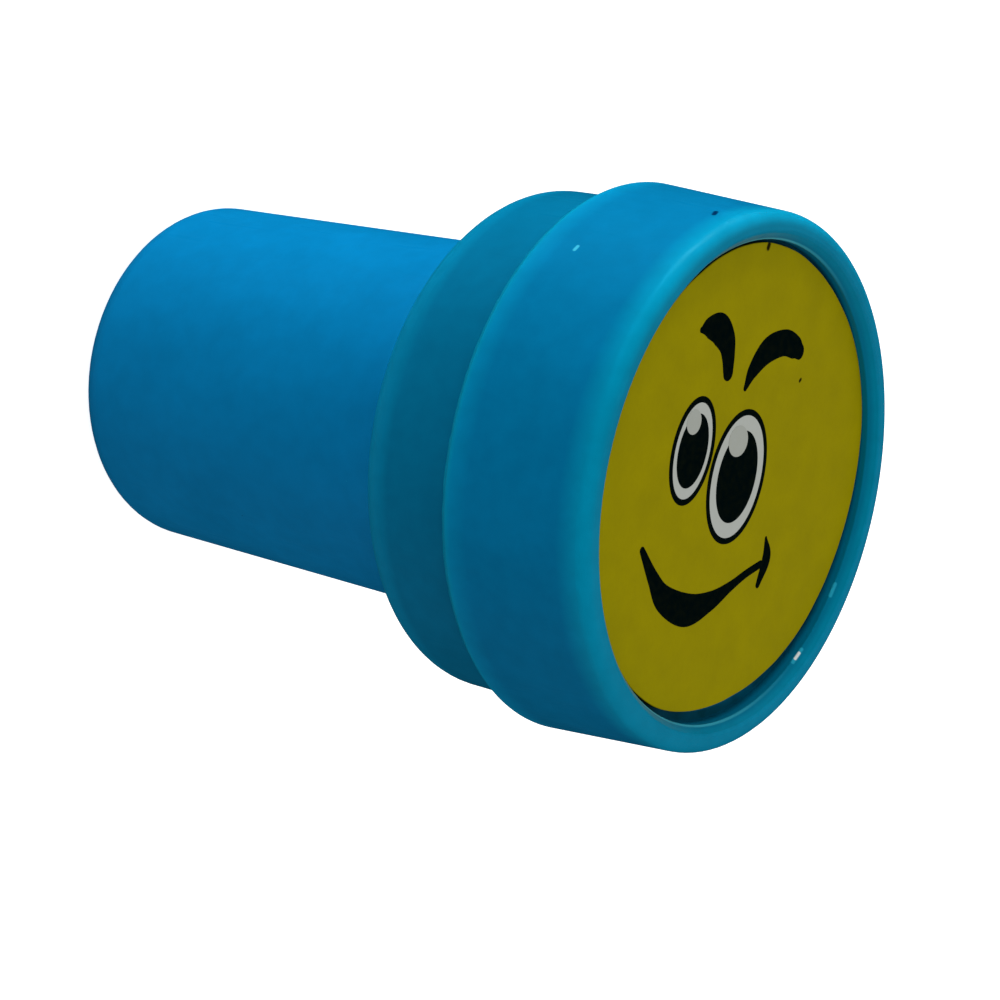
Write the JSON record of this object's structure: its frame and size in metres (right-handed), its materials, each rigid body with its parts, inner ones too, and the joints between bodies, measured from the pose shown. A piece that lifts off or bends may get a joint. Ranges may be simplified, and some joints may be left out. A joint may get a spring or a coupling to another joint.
{
  "type": "hand stamp",
  "caption": "Pre-inked hand stamp: hollow tapered grip with a collar, an ink cartridge with a raised rubber die, and a push-on round cap with a recessed picture label.",
  "frame": {"origin": "centre of the closed flat end of the grip, on which the stamp stands", "axes": "+Z along the stamp's axis from the grip's closed end to the label; +Y towards the top of the label's picture; +X towards its right side"},
  "size_m": [0.0364, 0.0364, 0.049],
  "materials": {
    "handle_plastic": "satin",
    "cap_plastic": "satin",
    "label_paper": "satin",
    "cup_plastic": "satin",
    "ring_plastic": "satin",
    "sponge_foam": "matte",
    "felt": "matte",
    "die_rubber": "matte"
  },
  "bodies": {
    "handle_body": {"handle": "handle_plastic", "cartridge_cup": "cup_plastic", "cartridge_ring": "ring_plastic", "ink_sponge": "sponge_foam"},
    "cap_body": {"cap": "cap_plastic", "label": "label_paper"},
    "die_body": {"stamp_die": "die_rubber", "ink_felt": "felt"}
  },
  "joints": [
    {"name": "cap_pull", "type": "slide", "parent": "handle_body", "child": "cap_body", "axis": [0, 0, 1], "range_m": [0, 0.03]},
    {"name": "die_press", "type": "slide", "parent": "handle_body", "child": "die_body", "axis": [0, 0, -1], "range_m": [0, 0.0006], "stiffness_N_per_m": 13000, "deforming": ["ink_sponge"]}
  ]
}
